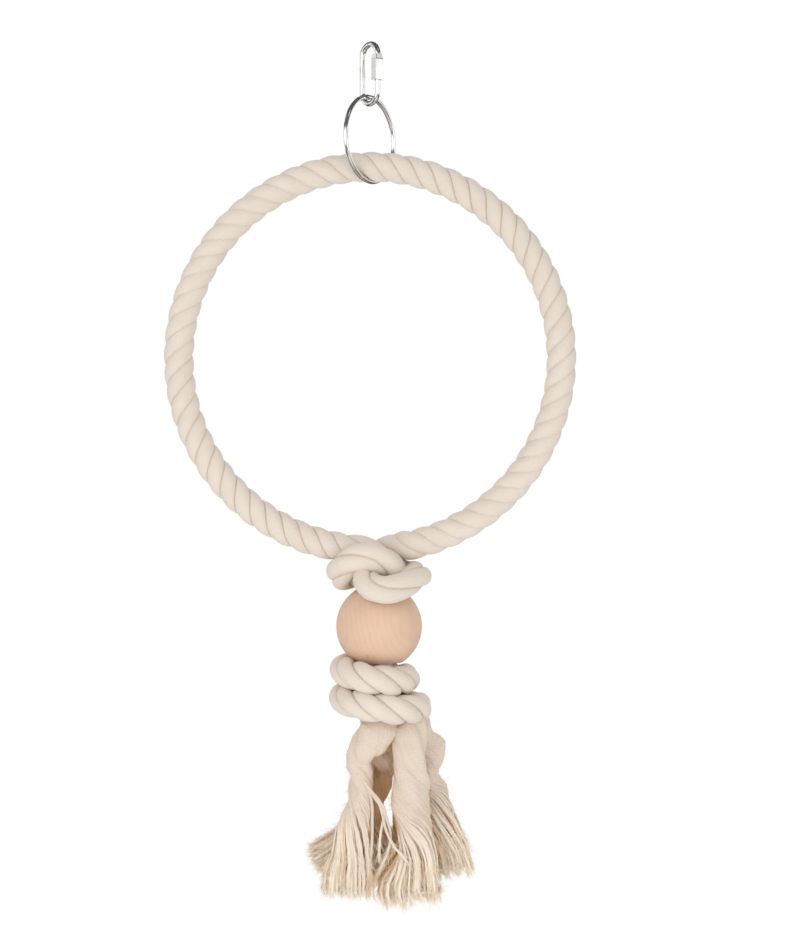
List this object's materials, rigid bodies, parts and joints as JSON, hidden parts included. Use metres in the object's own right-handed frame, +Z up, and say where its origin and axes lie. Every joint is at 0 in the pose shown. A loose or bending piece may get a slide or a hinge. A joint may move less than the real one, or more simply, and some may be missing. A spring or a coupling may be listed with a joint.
{
  "type": "rope ring bird swing",
  "caption": "Hanging perch for a cage bird: a laid cotton rope hoop on a steel ring and quick link, with its knotted ends passing through a wooden ball into frayed tails.",
  "frame": {"origin": "inside top of the quick link, where a cage bar bears", "axes": "+Z up, X across the hoop from its left to its right, -Y towards the front of the hoop"},
  "size_m": [0.2406, 0.0618, 0.5046],
  "materials": {
    "link_steel": "bright zinc plate on bent rod",
    "nut_steel": "bright zinc plate on turned hexagon",
    "ring_steel": "polished nickel plate on welded wire",
    "wire_steel": "bare drawn wire",
    "rope_cotton": "natural unbleached cotton, matt, lightly fuzzy",
    "tail_cotton": "natural unbleached cotton yarn, combed out",
    "ball_wood": "sanded bare beech"
  },
  "bodies": {
    "link": {"quick_link_rod": "link_steel"},
    "nut": {"quick_link_nut": "nut_steel"},
    "ring": {"hanging_ring": "ring_steel"},
    "swing": {"core_wire": "wire_steel", "rope_hoop": "rope_cotton", "upper_knot_left_rope": "rope_cotton", "upper_knot_right_rope": "rope_cotton", "ball_leg_front": "rope_cotton", "ball_leg_back": "rope_cotton", "lower_knot_wraps": "rope_cotton", "tail_front_left": "tail_cotton", "tail_front_right": "tail_cotton", "tail_side_right": "tail_cotton", "tail_back_right": "tail_cotton", "tail_back_middle": "tail_cotton", "tail_back_left": "tail_cotton"},
    "ball": {"wooden_ball": "ball_wood"}
  },
  "joints": [
    {"name": "nut_travel", "type": "slide", "parent": "link", "child": "nut", "axis": [0, 0, -1], "range_m": [0, 0.006]},
    {"name": "ring_swing", "type": "hinge", "parent": "link", "child": "ring", "pos_m": [0, 0, -0.03275], "axis": [0.6691, -0.7431, 0], "range_deg": [-60, 60]},
    {"name": "hoop_swing", "type": "hinge", "parent": "ring", "child": "swing", "pos_m": [0, 0, -0.06965], "axis": [1, 0, 0], "range_deg": [-60, 60]},
    {"name": "ball_spin", "type": "hinge", "parent": "swing", "child": "ball", "pos_m": [0.0052, 0, -0.33753], "axis": [0, 0, 1], "continuous": true}
  ]
}
